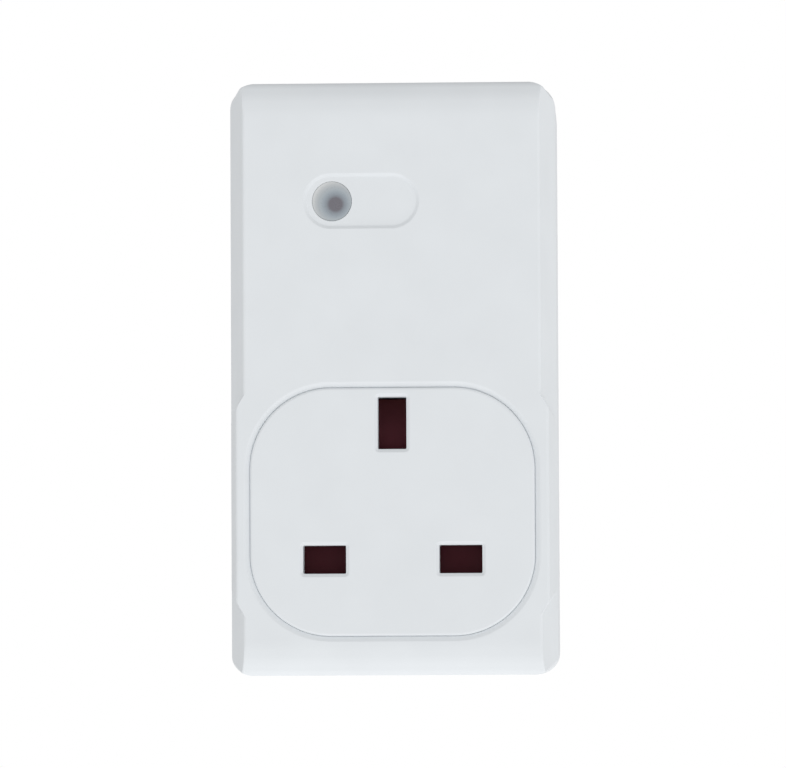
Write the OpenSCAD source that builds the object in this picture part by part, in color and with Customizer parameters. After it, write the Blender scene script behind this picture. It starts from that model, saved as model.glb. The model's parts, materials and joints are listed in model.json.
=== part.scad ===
// Plug-through smart plug for a wall socket with three rectangular pins.
// X is the width, Y points into the wall and Z points up. The origin lies on the rear
// seating plane, midway between the earth pin and the line of the other two pins.
// Every length is in millimetres.

/* [Housing] */
// Width of the housing
body_w = 53.7; // [53.6:0.1:58]
// Height of the housing
body_h = 97; // [96:0.1:110]
// Depth from the wall plane to the front face
body_d = 37; // [37:0.5:40]
// Distance from the pin pattern's centre down to the bottom edge
pins_up = 30; // [29.5:0.1:32]
// Radius of the upper corners of the front outline
corner_r = 4.1; // [3:0.1:6]
// Radius of its lower corners
corner_low_r = 3.5; // [3:0.1:6]
// Wall thickness of both shells
wall = 2.2; // [2:0.1:2.4]
// Depth of the rear shell, from the wall plane to the seam
seam_d = 14; // [13:0.5:15]
// Width of the groove where the two shells meet
seam_gap = 0.3; // [0.1:0.1:0.5]

/* [Front details] */
// How far each sloping flank comes in from the outline
flank_in = 2.6; // [1.5:0.1:3]
// How far back each flank runs
flank_run = 8.2; // [6:0.1:10]
// Inset that is left where the flanks swell out beside the socket face
swell_in = 1.3; // [0.8:0.1:1.3]
// Width of the insert that carries the apertures
face_w = 46.5; // [44:0.1:46.5]
// Height of the insert that carries the apertures
face_h = 40.5; // [38:0.1:41]
// Corner radius of that insert
face_r = 13.2; // [10:0.1:14]
// Width of the bevel round that insert
face_bevel = 0.9; // [0.5:0.05:1.2]
// Length of the pill-shaped recess
pill_w = 19; // [14:0.1:22]
// Height of the pill-shaped recess
pill_h = 9.05; // [8:0.05:12]
// Depth of the pill-shaped recess
pill_depth = 0.4; // [0.3:0.1:0.9]
// Width of the sloping wall of that recess
pill_slope = 0.5; // [0.3:0.05:1]
// Diameter of the push button
button_d = 6.4; // [5:0.1:7]

/* [Pins and apertures] */
// Distance between the line and neutral pins, and from them up to the earth pin
pin_pitch = 22.23; // [22.2:0.01:22.26]
// Wide side of the line and neutral pins
pin_w = 6.35; // [6.2:0.01:6.5]
// Thin side of every pin
pin_t = 3.97; // [3.9:0.01:4.05]
// Tall side of the earth pin
earth_h = 7.95; // [7.8:0.01:8.05]
// Length of the line and neutral pins beyond the wall plane
pin_l = 17.7; // [17.2:0.1:18.2]
// Length of the earth pin beyond the wall plane
earth_l = 22.7; // [22.2:0.1:23.2]
// Length of the insulating sleeves beyond the wall plane
sleeve_l = 9.5; // [9:0.1:10]
// Width of the line and neutral apertures
slot_w = 7; // [6.9:0.1:7.2]
// Height of the line and neutral apertures
slot_h = 4.6; // [4.4:0.1:4.8]
// Width of the earth aperture
earth_slot_w = 4.66; // [4.4:0.01:4.8]
// Height of the earth aperture
earth_slot_h = 8.5; // [8.3:0.1:8.6]

/* [Moving parts] */
// How far the shutter slides down
shutter_travel = 8.8; // [8.6:0.1:9]
// How far the push button goes in
button_travel = 0.4; // [0.2:0.1:0.4]
// Angle at which the open relay armature stands off its core
armature_open = 4.5; // [3:0.5:4.5]

/* [Hidden] */
$fn = 64;

// Colours
white_plastic = [0.87, 0.88, 0.89];
maroon_plastic = [0.25, 0.09, 0.11];
black_plastic = [0.12, 0.12, 0.13];
cream_plastic = [0.85, 0.82, 0.74];
brass_metal = [0.78, 0.62, 0.32];
steel_metal = [0.7, 0.71, 0.73];
copper_metal = [0.72, 0.42, 0.26];
board_green = [0.1, 0.36, 0.22];
label_grey = [0.74, 0.75, 0.77];

// Housing levels
half_w = body_w / 2;
z_bottom = -pins_up;
z_top = body_h - pins_up;
mid_z = (z_bottom + z_top) / 2;
front_y = -body_d;
inner_front_y = front_y + wall;
seam_front_y = -seam_d - seam_gap / 2;
seam_rear_y = -seam_d + seam_gap / 2;
// The rear shell's tongue runs forward to this level, inside the front shell's rabbet
tongue_y = -seam_d - 2;
rabbet_t = wall / 2;
tongue_clearance = 0.05;
rear_chamfer = 0.8;
// Top and bottom front edges: distance in from the edge, and drop behind the front face
edge_steps = [[4.8, 0], [2.4, 0.45], [0.6, 1.4], [0, 2.1]];
// Ends of the swollen part of the flanks, and how they slant across the flank
swell_top = 15.6;
swell_bottom = -20;
swell_slant = 1.55;
// How far a cutter runs past the face that it cuts, and how far joined solids sink in
overcut = 1;
sink = 0.1;
// Recess for the rating label in the rear face
label_size = [30, 16];
label_r = 1.5;
label_z = 43;
label_depth = 0.2;
label_gap = 0.2;
label_t = 0.12;
// Hooks at the bottom of the front shell that hold the contact block's foot
hook_x = 8.5;
hook_size = [5, 2, 2.5];

// Pin pattern and socket face
pin_x = pin_pitch / 2;
pin_z = pin_pitch / 2;
face_z = -3.35;
face_gap = 0.06;
face_edge = 0.35;
bevel_depth = 0.5;
flange_grow = 0.35;
flange_r = face_r + flange_grow;
flange_back_y = inner_front_y + 2.1;
slot_chamfer = 0.55;
slot_chamfer_depth = 0.4;
pill_x = -4.9;
// The button sits a little to the right of the recess's round end
button_shift = 0.2;
button_x = pill_x - (pill_w - pill_h) / 2 + button_shift;
button_z = 47.45;
pill_floor_y = front_y + pill_depth;
button_gap = 0.065;
// How far the button's crown stands off the recess floor, and its rounding
button_proud = 0.1;
button_edge = 0.1;
button_flange_d = 8.2;
button_flange_t = 0.8;
button_stem_d = 3;

// Shutter, its channel in the contact block, and its spring
shutter_gap = 0.3;
shutter_t = 2;
shutter_y = flange_back_y + shutter_gap;
shutter_back_y = shutter_y + shutter_t;
block_y = shutter_back_y + shutter_gap;
block_plate_t = 4.5;
plate_back_y = block_y + block_plate_t;
block_back_y = -12.6;
shutter_half_w = 16.2;
shutter_foot_z = -15.5;
// Line and neutral windows, which come down onto their apertures when the shutter opens
window_w = slot_w + 0.8;
window_z = [for (side = [-1, 1]) shutter_travel - pin_z + side * 2.6];
shutter_head_z = window_z[1] + 1.4;
// Window for the earth pin, and the stem that carries it
earth_window_w = 5.2;
earth_window_top = pin_z + earth_h / 2 + shutter_travel + 0.3;
stem_half_w = 6.5;
stem_top = earth_window_top + 1.3;
// Ramp that the earth pin pushes down: its front foot, its rear crest, and its half width
ramp_foot_z = pin_z - earth_slot_h / 2 - 0.25;
ramp_crest_z = pin_z + earth_slot_h / 2 + 0.25;
ramp_back_y = shutter_y + 9.3;
ramp_half_w = 3.2;
ramp_heel_z = ramp_foot_z - 1.4;
ramp_t = 1.6;
// Lug that pushes on the spring
lug_half_w = 2.4;
lug_z = [-9.5, -7.3];
lug_y = block_y + 3.3;
channel_y = lug_y + 0.3;
spring_seat_z = -26;
spring_d = 2.9;
spring_wire = 0.45;
spring_turns = 9;
spring_y = block_y + 1.75;

// Contact block: plate, foot, ears, rails and body (half widths, and lower and upper ends)
block_half_w = 19.5;
block_z = [-20, 17.5];
foot_half_w = 12;
ear_half_w = 3;
ear_top = 25.3;
rail_x = 18;
rail_half_w = 1.5;
rail_z = [-19, 8];
body_half = [16.5, 17];
// Wells for the contacts: half width, half height, and how deep they go
well = [4, 4.4];
well_y = -17.4;
earth_well = [4.6, 4.9];
earth_well_y = -13.2;
tail_slot = [2.6, 0.5];

// Screws: head diameter, head height, shank diameter, shank length
case_screw = [5.6, 2.2, 2.5, 17];
block_screw = [4.4, 1.6, 2.2, 8];
retainer_screw = [4, 1.5, 2, 5];
board_screw = [4.4, 1.6, 2, 5];
control_screw = [3.8, 1.4, 1.8, 5.2];
// Diameters of their bosses, and of the clearance holes that they pass through
case_boss_d = 6.2;
case_seat_d = 8.4;
counterbore_d = 6.2;
case_hole_d = 3.4;
block_boss_d = 6;
block_hole_d = 2.6;
control_boss_d = 5.2;
control_hole_d = 2.1;
retainer_boss_d = 6;
board_boss_d = 5.6;
rear_hole_d = 2.3;
// Ends of the pilot holes
case_pilot_y = -24;
front_pilot_y = inner_front_y + 0.5;
rear_pilot_y = [-8, -3];

// Fixing points
case_screw_in = 5.4;
case_points = [for (sx = [-1, 1], z = [z_bottom + case_screw_in, z_top - case_screw_in])
    [sx * (half_w - case_screw_in), z]];
case_joint_y = -11;
case_head_y = -4.5;
block_points = [[-14, 22.3], [14, 22.3]];
retainer_points = [[-15.5, 2], [15.5, 2], [0, -6]];
board_points = [for (sx = [-1, 1], z = [23, 53.5]) [sx * 20, z]];
control_points = [[-16, 30.5], [13, 30.5], [-16, 54.8], [13, 54.8]];

// Pins, retainer and links
pin_head_y = -6.5;
neck_in = 0.6;
pin_hole_gap = 0.1;
pin_tip = 2;
pin_tip_in = 0.9;
head_half = [4, 2.9];
earth_head_half = [2.9, 4.8];
retainer_y = -8.4;
tail_y = -12.2;
link_y = -9.3;
link_t = 0.8;
leaf_t = 0.6;
leaf_half_w = 2.8;
earth_leaf_half_w = 3.5;
tail_half = [2.5, 0.4];
link_half = [2.5, 0.5];

// Boards
board_y = -8.5;
board_t = 1.6;
board_z = [19.5, 57];
board_half_w = 23;
control_y = -29.4;
control_t = 1.2;
control_x = [-19, 16];
control_z = [27.5, 57.8];
header_x = [for (i = [-2 : 2]) i * 2.54];
header_z = 55.8;
switch_front_y = control_y - 3.5;
plunger_front_y = switch_front_y - 0.5;
plunger_back_y = switch_front_y + 1.4;
plunger_d = 3.5;

// Relay, drawn about its own foot on the main board
relay_at = [12.8, board_y, 35.9];
relay_half_w = 7.8;
relay_half_l = 9.6;
relay_h = 15.9;
relay_skin = 0.6;
coil_z = -0.5;
yoke_top = 12.3;
pivot_z = -7.1;
pivot_gap = 0.05;

// ---- Drawing helpers ----

// Box between two limits on each axis, and one that is centred on x = 0 and z = 0
module box(x, y, z)
    translate([x[0], y[0], z[0]]) cube([x[1] - x[0], y[1] - y[0], z[1] - z[0]]);

module centred_box(half, y)
    box([-half[0], half[0]], y, [-half[1], half[1]]);

// Extrudes an (x, z) outline between two depths
module along_y(y0, y1)
    translate([0, y1, 0]) rotate([90, 0, 0]) linear_extrude(y1 - y0) children();

// Extrudes a (y, z) outline between two widths
module along_x(x0, x1)
    translate([x0, 0, 0]) rotate([90, 0, 90]) linear_extrude(x1 - x0) children();

// Extrudes an (x, y) outline between two heights
module along_z(z0, z1)
    translate([0, 0, z0]) linear_extrude(z1 - z0) children();

// Round bar between two depths
module rod_y(d, y0, y1)
    translate([0, y1, 0]) rotate([90, 0, 0]) cylinder(d = d, h = y1 - y0);

// Cone between two depths
module cone_y(d0, y0, d1, y1)
    translate([0, y1, 0]) rotate([90, 0, 0]) cylinder(d1 = d1, d2 = d0, h = y1 - y0);

// Repeats its children at each [x, z] point
module at(points)
    for (p = points) translate([p[0], 0, p[1]]) children();

// Rounded rectangle about the origin
module rounded_rect(w, h, r) {
    square([w - 2 * r, h], center = true);
    square([w, h - 2 * r], center = true);
    for (sx = [-1, 1], sz = [-1, 1])
        translate([sx * (w / 2 - r), sz * (h / 2 - r)]) circle(r = r);
}

// Rounded plate that shrinks by s on every side between depths y0 and y1
module tapered_plate(w, h, r, s, y0, y1) {
    if (w > 2 * r)
        along_x(r - w / 2, w / 2 - r)
            polygon([[y0, -h / 2], [y0, h / 2], [y1, h / 2 - s], [y1, s - h / 2]]);
    if (h > 2 * r)
        along_z(r - h / 2, h / 2 - r)
            polygon([[-w / 2, y0], [w / 2, y0], [w / 2 - s, y1], [s - w / 2, y1]]);
    for (sx = [-1, 1], sz = h > 2 * r ? [-1, 1] : [0])
        translate([sx * (w / 2 - r), 0, sz * (h / 2 - r)])
            cone_y(2 * r, y0, 2 * (r - s), y1);
}

// Square-cornered hole that shrinks by s on every side between depths y0 and y1
module tapered_hole(w, h, s, y0, y1)
    intersection() {
        along_x(-w / 2, w / 2)
            polygon([[y0, -h / 2], [y0, h / 2], [y1, h / 2 - s], [y1, s - h / 2]]);
        along_z(-h / 2, h / 2)
            polygon([[-w / 2, y0], [w / 2, y0], [w / 2 - s, y1], [s - w / 2, y1]]);
    }

// Flat strip of thickness t that follows a list of 2D points
module strip(points, t) {
    for (i = [0 : len(points) - 2]) {
        step = points[i + 1] - points[i];
        translate(points[i]) rotate(atan2(step[1], step[0]))
            translate([0, -t / 2]) square([norm(step), t]);
    }
    for (i = [1 : len(points) - 2])
        translate(points[i]) circle(d = t, $fn = 24);
}

// Pan-head screw that points forward, with its seat at y = 0
module screw(sizes) {
    head_d = sizes[0];
    head_h = sizes[1];
    shank_d = sizes[2];
    shank_l = sizes[3];
    slot = [head_d * 0.08, head_d * 0.32];
    slot_y = [head_h * 0.45, head_h + overcut];
    difference() {
        union() {
            rod_y(head_d, 0, head_h * 0.6);
            cone_y(head_d, head_h * 0.6, head_d * 0.7, head_h);
        }
        centred_box(slot, slot_y);
        centred_box([slot[1], slot[0]], slot_y);
    }
    rod_y(shank_d, shank_d - shank_l, 0);
    cone_y(shank_d * 0.3, -shank_l, shank_d, shank_d - shank_l);
}

// ---- Outer form, offset inwards by t, between two depths ----

// Side view: the long edges at the top and bottom are eased towards the front
function side_profile(t) =
    let (steps = edge_steps * (1 - t / edge_steps[0][0]), last = len(steps) - 1)
    concat(
        [for (s = steps) [front_y + t + s[1], z_top - t - s[0]]],
        [[-rear_chamfer, z_top - t], [0, z_top - t - rear_chamfer]],
        [[0, z_bottom + t + rear_chamfer], [-rear_chamfer, z_bottom + t]],
        [for (i = [last : -1 : 0]) [front_y + t + steps[i][1], z_bottom + t + steps[i][0]]]);

// Plan view: flat flanks that come in by inset over the last run millimetres
function plan_profile(t, inset, run) =
    let (slope = inset / run,
        tilt = sqrt(1 + slope * slope),
        x_front = half_w - inset + slope * t - t * tilt,
        y_knee = front_y + run + t * (tilt - 1) / slope,
        x_side = half_w - t)
    [[-x_front, front_y + t], [x_front, front_y + t], [x_side, y_knee],
        [x_side, -rear_chamfer], [x_side - rear_chamfer, 0],
        [rear_chamfer - x_side, 0], [-x_side, -rear_chamfer], [-x_side, y_knee]];

// Front view of the stretch where the flanks swell out
function swell_outline(t) =
    let (x0 = half_w - flank_in,
        x1 = half_w + overcut,
        rise = swell_slant * (x1 - x0),
        top = swell_top - t,
        bottom = swell_bottom + t)
    [[x0, top], [x1, top - rise], [x1, bottom + rise], [x0, bottom],
        [-x0, bottom], [-x1, bottom + rise], [-x1, top - rise], [-x0, top]];

// Front view of the housing, with one radius for its lower and one for its upper corners
module front_outline(half, low, high, low_r, high_r) {
    translate([-half, low + low_r]) square([2 * half, high - high_r - low - low_r]);
    translate([low_r - half, low]) square([2 * (half - low_r), mid_z + overcut - low]);
    translate([high_r - half, mid_z]) square([2 * (half - high_r), high - mid_z]);
    for (sx = [-1, 1]) {
        translate([sx * (half - low_r), low + low_r]) circle(r = low_r);
        translate([sx * (half - high_r), high - high_r]) circle(r = high_r);
    }
}

module envelope(t, y0, y1)
    intersection() {
        along_y(y0, y1) front_outline(half_w - t, z_bottom + t, z_top - t,
            corner_low_r - t, corner_r - t);
        along_x(-body_w, body_w) polygon(side_profile(t));
        union() {
            along_z(z_bottom - overcut, z_top + overcut)
                polygon(plan_profile(t, flank_in, flank_run));
            intersection() {
                along_z(z_bottom - overcut, z_top + overcut)
                    polygon(plan_profile(t, swell_in, flank_run));
                along_y(front_y - overcut, overcut) polygon(swell_outline(t));
            }
        }
    }

// ---- Housing ----

module front_cover() color(white_plastic)
    difference() {
        union() {
            difference() {
                envelope(0, front_y, seam_front_y);
                envelope(wall, inner_front_y, case_joint_y);
                envelope(rabbet_t, tongue_y, case_joint_y);
            }
            at(case_points) rod_y(case_boss_d, inner_front_y - sink, case_joint_y);
            at(block_points) rod_y(block_boss_d, inner_front_y - sink, block_y);
            at(control_points) rod_y(control_boss_d, inner_front_y - sink, control_y);
            for (sx = [-1, 1])
                translate([sx * hook_x, plate_back_y, z_bottom + wall])
                    box([-hook_size[0] / 2, hook_size[0] / 2], [0, hook_size[1]],
                        [-sink, hook_size[2]]);
        }
        // Opening for the socket face, with its bevel
        translate([0, 0, face_z]) {
            along_y(front_y - overcut, inner_front_y + overcut)
                rounded_rect(face_w + 2 * face_gap, face_h + 2 * face_gap, face_r + face_gap);
            tapered_plate(face_w + 2 * face_bevel, face_h + 2 * face_bevel,
                face_r + face_bevel, face_bevel - face_gap, front_y, front_y + bevel_depth);
        }
        // Pill recess and button hole
        translate([pill_x, 0, button_z])
            tapered_plate(pill_w, pill_h, pill_h / 2, pill_slope, front_y, pill_floor_y);
        translate([button_x, 0, button_z])
            rod_y(button_d + 2 * button_gap, front_y, inner_front_y + overcut);
        // Pilot holes
        at(case_points) rod_y(case_screw[2], case_pilot_y, case_joint_y + overcut);
        at(block_points) rod_y(block_screw[2], front_pilot_y, block_y + overcut);
        at(control_points) rod_y(control_screw[2], front_pilot_y, control_y + overcut);
    }

module rear_cover() color(white_plastic)
    difference() {
        union() {
            difference() {
                union() {
                    envelope(0, seam_rear_y, 0);
                    envelope(rabbet_t + tongue_clearance, tongue_y, seam_rear_y + overcut);
                }
                envelope(wall, tongue_y - overcut, -wall);
            }
            at(case_points) rod_y(case_seat_d, case_joint_y, sink - wall);
            at(retainer_points) rod_y(retainer_boss_d, pin_head_y, sink - wall);
            at(board_points) rod_y(board_boss_d, board_y + board_t, sink - wall);
        }
        for (sx = [-1, 1])
            translate([sx * pin_x, 0, -pin_z]) pin_hole(pin_w, pin_t);
        translate([0, 0, pin_z]) pin_hole(pin_t, earth_h);
        at(case_points) {
            rod_y(case_hole_d, case_joint_y - overcut, overcut);
            rod_y(counterbore_d, case_head_y, overcut);
        }
        at(retainer_points) rod_y(retainer_screw[2], rear_pilot_y[0], rear_pilot_y[1]);
        at(board_points) rod_y(board_screw[2], rear_pilot_y[0], rear_pilot_y[1]);
        translate([0, 0, label_z]) along_y(-label_depth, overcut)
            rounded_rect(label_size[0], label_size[1], label_r);
    }

// Hole for a pin of width w and height h through the rear wall
module pin_hole(w, h)
    centred_box([w + pin_hole_gap, h + pin_hole_gap] / 2, [-wall - overcut, overcut]);

module socket_face() color(white_plastic)
    translate([0, 0, face_z])
        difference() {
            union() {
                mirror([0, 1, 0])
                    tapered_plate(face_w, face_h, face_r, face_edge,
                        -front_y - face_edge, -front_y);
                along_y(front_y + face_edge, inner_front_y) rounded_rect(face_w, face_h, face_r);
                along_y(inner_front_y, flange_back_y)
                    rounded_rect(face_w + 2 * flange_grow, face_h + 2 * flange_grow, flange_r);
            }
            for (sx = [-1, 1])
                translate([sx * pin_x, 0, -pin_z - face_z])
                    aperture(slot_w, slot_h);
            translate([0, 0, pin_z - face_z])
                aperture(earth_slot_w, earth_slot_h);
        }

// Chamfered hole right through the socket face
module aperture(w, h) {
    centred_box([w / 2, h / 2], [front_y - overcut, flange_back_y + overcut]);
    tapered_hole(w + 2 * slot_chamfer, h + 2 * slot_chamfer, slot_chamfer,
        front_y, front_y + slot_chamfer_depth);
}

module push_button() color([0.6, 0.62, 0.65, 0.8])
    translate([button_x, 0, button_z]) {
        crown_y = pill_floor_y - button_proud;
        flange_y = inner_front_y + sink;
        cone_y(button_d - 2 * button_edge, crown_y, button_d, crown_y + button_edge);
        rod_y(button_d, crown_y + button_edge, flange_y + sink);
        rod_y(button_flange_d, flange_y, flange_y + button_flange_t);
        rod_y(button_stem_d, flange_y + button_flange_t - sink, plunger_front_y - 0.05);
    }

module rating_label() color(label_grey)
    translate([0, 0, label_z]) along_y(-label_depth, label_t - label_depth)
        rounded_rect(label_size[0] - 2 * label_gap, label_size[1] - 2 * label_gap,
            label_r - label_gap);

// ---- Socket mechanism ----

module shutter() color(maroon_plastic) {
    through_y = [shutter_y - overcut, shutter_back_y + overcut];
    difference() {
        union() {
            box([-shutter_half_w, shutter_half_w], [shutter_y, shutter_back_y],
                [shutter_foot_z, shutter_head_z]);
            box([-stem_half_w, stem_half_w], [shutter_y, shutter_back_y],
                [shutter_head_z - 0.5, stem_top]);
        }
        for (sx = [-1, 1])
            box([sx * pin_x - window_w / 2, sx * pin_x + window_w / 2], through_y, window_z);
        box([-earth_window_w / 2, earth_window_w / 2], through_y,
            [ramp_foot_z, earth_window_top]);
    }
    along_x(-ramp_half_w, ramp_half_w)
        polygon([[shutter_y, ramp_heel_z], [shutter_y, ramp_foot_z],
            [ramp_back_y, ramp_crest_z], [ramp_back_y, ramp_crest_z - ramp_t],
            [shutter_back_y, ramp_heel_z]]);
    box([-lug_half_w, lug_half_w], [shutter_back_y - sink, lug_y], lug_z);
}

// One round wire, swept along a helix by rings of points
module shutter_spring() color(steel_metal) {
    sides = 8;
    steps = 16 * spring_turns;
    length = lug_z[0] - spring_seat_z;
    wire_r = spring_wire / 2;
    coil_r = spring_d / 2 - wire_r;
    rise = length - spring_wire;
    points = [for (i = [0 : steps], j = [0 : sides - 1])
        let (turn = 360 * spring_turns * i / steps,
            around = 360 * j / sides,
            r = coil_r + wire_r * cos(around))
        [r * cos(turn), r * sin(turn), wire_r + rise * i / steps + wire_r * sin(around)]];
    faces = concat(
        [[for (j = [0 : sides - 1]) j]],
        [for (i = [0 : steps - 1], j = [0 : sides - 1])
            let (k = (j + 1) % sides)
            [i * sides + j, (i + 1) * sides + j, (i + 1) * sides + k, i * sides + k]],
        [[for (j = [sides - 1 : -1 : 0]) steps * sides + j]]);
    translate([0, spring_y, spring_seat_z]) polyhedron(points, faces);
}

module contact_block() color(black_plastic)
    difference() {
        union() {
            box([-block_half_w, block_half_w], [block_y, plate_back_y], block_z);
            box([-foot_half_w, foot_half_w], [block_y, plate_back_y],
                [z_bottom + wall + 0.7, block_z[0] + overcut]);
            for (p = block_points)
                box([p[0] - ear_half_w, p[0] + ear_half_w], [block_y, plate_back_y],
                    [block_z[1] - 0.5, ear_top]);
            // Rails that guide the shutter and clamp the socket face
            for (sx = [-1, 1])
                translate([sx * rail_x, 0, 0])
                    box([-rail_half_w, rail_half_w], [flange_back_y, block_y + sink], rail_z);
            centred_box(body_half, [plate_back_y - sink, block_back_y]);
        }
        // Wells for the contacts, and slots for their tails
        for (sx = [-1, 1])
            translate([sx * pin_x, 0, -pin_z]) {
                centred_box(well, [block_y - overcut, well_y]);
                centred_box(tail_slot, [well_y - 0.6, block_back_y + overcut]);
            }
        translate([0, 0, pin_z]) {
            centred_box(earth_well, [block_y - overcut, earth_well_y]);
            centred_box([tail_slot[1], tail_slot[0]],
                [earth_well_y - 0.8, block_back_y + overcut]);
        }
        // Channels for the shutter's ramp, lug and spring
        box([-ramp_half_w - 0.4, ramp_half_w + 0.4], [block_y - overcut, ramp_back_y + 0.3],
            [ramp_heel_z - shutter_travel - 0.3, pin_z - earth_well[1] + sink]);
        box([-lug_half_w - 0.4, lug_half_w + 0.4], [block_y - overcut, channel_y],
            [spring_seat_z, lug_z[1] + 0.3]);
        at(block_points) rod_y(block_hole_d, block_y - overcut, plate_back_y + overcut);
    }

// Half of a spring clip: [depth, distance from the middle] from mouth to root
function clip_path(mouth_y, root_y) =
    let (half = [[mouth_y, 3], [mouth_y + 2.2, 2.05], [root_y - 1.7, 2.8], [root_y, 2.8]])
    concat(half, [for (i = [3 : -1 : 0]) [half[i][0], -half[i][1]]]);

module pin_contact(sx) color(brass_metal)
    translate([sx * pin_x, 0, -pin_z]) {
        root_y = well_y - 0.5;
        along_x(-leaf_half_w, leaf_half_w) strip(clip_path(root_y - 10.5, root_y), leaf_t);
        centred_box(tail_half, [root_y - sink, tail_y]);
    }

module live_contact() pin_contact(1);

module neutral_contact() pin_contact(-1);

module earth_contact() color(brass_metal)
    translate([0, 0, pin_z]) {
        root_y = earth_well_y - 0.6;
        along_z(-earth_leaf_half_w, earth_leaf_half_w)
            strip([for (p = clip_path(root_y - 8.4, root_y)) [p[1], p[0]]], leaf_t);
        centred_box([tail_half[1], tail_half[0]], [root_y - sink, tail_y]);
    }

// ---- Plug pins ----

// Bar with a tip that is chamfered on all four sides
module pin_bar(w, h, y0, y1)
    intersection() {
        along_z(-h / 2, h / 2) polygon(tip_outline(w / 2, y0, y1));
        along_x(-w / 2, w / 2) polygon([for (p = tip_outline(h / 2, y0, y1)) [p[1], p[0]]]);
    }

function tip_outline(half, y0, y1) =
    [[-half, y0], [half, y0], [half, y1 - pin_tip], [half - pin_tip_in, y1],
        [pin_tip_in - half, y1], [-half, y1 - pin_tip]];

module sleeved_pin(sx) color(brass_metal)
    translate([sx * pin_x, 0, -pin_z]) {
        centred_box(head_half, [pin_head_y, -wall]);
        centred_box([pin_w / 2 - neck_in, pin_t / 2 - neck_in], [-wall - sink, sleeve_l + sink]);
        pin_bar(pin_w, pin_t, sleeve_l, pin_l);
    }

module live_pin() sleeved_pin(1);

module neutral_pin() sleeved_pin(-1);

module earth_pin() color(brass_metal)
    translate([0, 0, pin_z]) {
        centred_box(earth_head_half, [pin_head_y, -wall]);
        pin_bar(pin_t, earth_h, -wall - sink, earth_l);
    }

module pin_sleeve(sx) color(black_plastic)
    translate([sx * pin_x, 0, -pin_z])
        difference() {
            centred_box([pin_w, pin_t] / 2, [-wall, sleeve_l]);
            centred_box([pin_w / 2 - neck_in, pin_t / 2 - neck_in],
                [-wall - overcut, sleeve_l + overcut]);
        }

module live_pin_sleeve() pin_sleeve(1);

module neutral_pin_sleeve() pin_sleeve(-1);

module pin_retainer() color(black_plastic)
    difference() {
        plate = [37, 35];
        through_y = [retainer_y - overcut, pin_head_y + overcut];
        translate([0, 0, 0.5]) along_y(retainer_y, pin_head_y)
            rounded_rect(plate[0], plate[1], 4);
        for (sx = [-1, 1])
            translate([sx * pin_x, 0, -pin_z]) centred_box(link_half + [0.3, 0.3], through_y);
        translate([0, 0, pin_z])
            centred_box([link_half[1] + 0.3, link_half[0] + 0.3], through_y);
        at(retainer_points) rod_y(rear_hole_d, through_y[0], through_y[1]);
    }

// ---- Links between pins, board and contacts ----

// Bars behind the line and neutral pins' heads turn up to the main board's lower edge
link_x = [8.6, 12.6];
link_up = [-pin_z, board_z[0] + 3];
link_level = [link_y, link_y + link_t];

module earth_link() color(brass_metal)
    translate([0, 0, pin_z]) centred_box([link_half[1], link_half[0]], [tail_y, pin_head_y]);

module neutral_link() color(brass_metal) {
    translate([-pin_x, 0, -pin_z]) centred_box(link_half, [tail_y, pin_head_y]);
    box([-link_x[1], -link_x[0]], link_level, link_up);
}

module live_in_link() color(brass_metal) {
    translate([pin_x, 0, -pin_z]) centred_box(link_half, [link_y, pin_head_y]);
    box(link_x, link_level, link_up);
}

// From the line contact's tail, up beside the other link, and back onto the board
module live_out_link() color(brass_metal) {
    riser_x = [13.4, 17];
    level = [tail_y, tail_y + link_t];
    box([pin_x - link_half[0], riser_x[1]], level, [-pin_z - 2, -pin_z + 2]);
    box(riser_x, level, [-pin_z + 2 - sink, link_up[1]]);
    box(riser_x, [level[1] - sink, board_y], [link_up[1] - link_t, link_up[1]]);
}

// ---- Main board and its components ----

module main_board() color(board_green)
    difference() {
        box([-board_half_w, board_half_w], [board_y, board_y + board_t], board_z);
        at(board_points) rod_y(rear_hole_d, board_y - overcut, board_y + board_t + overcut);
    }

module film_capacitor() color([0.78, 0.66, 0.2])
    translate([-18.55, 0, 36]) along_y(board_y - 13, board_y) rounded_rect(7.5, 18, 0.8);

module bulk_capacitors() color([0.14, 0.2, 0.36])
    at([[-9.6, 28.8], [-0.6, 28.8]])
        difference() {
            rod_y(8, board_y - 12, board_y);
            translate([0, board_y - 10.6, 0])
                rotate([90, 0, 0])
                    rotate_extrude() translate([4.2, 0]) circle(r = 0.6, $fn = 24);
        }

module varistor() color([0.16, 0.32, 0.6])
    translate([-14.5, board_y - 6.2, 50]) {
        cylinder(d = 9.5, h = 4, center = true);
        for (sx = [-1, 1])
            translate([sx * 2.5, 0, 0]) rod_y(0.8, 3, 6.2);
    }

module fuse() color(cream_plastic)
    translate([6, board_y - 2.6, 49.5]) {
        rotate([0, 90, 0]) cylinder(d = 3.4, h = 9);
        for (x = [1.2, 7.8])
            translate([x, 0, 0]) rod_y(0.8, 1, 2.6);
    }

module bridge_rectifier() color(black_plastic) {
    box([-4.5, 2.5], [board_y - 2.6, board_y - 0.3], [48.4, 53.4]);
    for (x = [-3.6, 0.9], z = [47.6, 53.3])
        box([x, x + 0.8], [board_y - 1, board_y], [z, z + 0.9]);
}

module driver_chip() color(black_plastic) {
    box([-6, -1], [board_y - 1.6, board_y - 0.2], [20.9, 24]);
    for (i = [0 : 3], z = [20.3, 23.9])
        box([-5.7 + 1.27 * i, -5.3 + 1.27 * i], [board_y - 0.8, board_y], [z, z + 0.7]);
}

module current_shunt() color(copper_metal)
    along_z(23.6, 25.6)
        strip([[9.6, board_y], [9.6, board_y - 3], [12.5, board_y - 3.8],
            [15.4, board_y - 3], [15.4, board_y]], 0.8);

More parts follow.
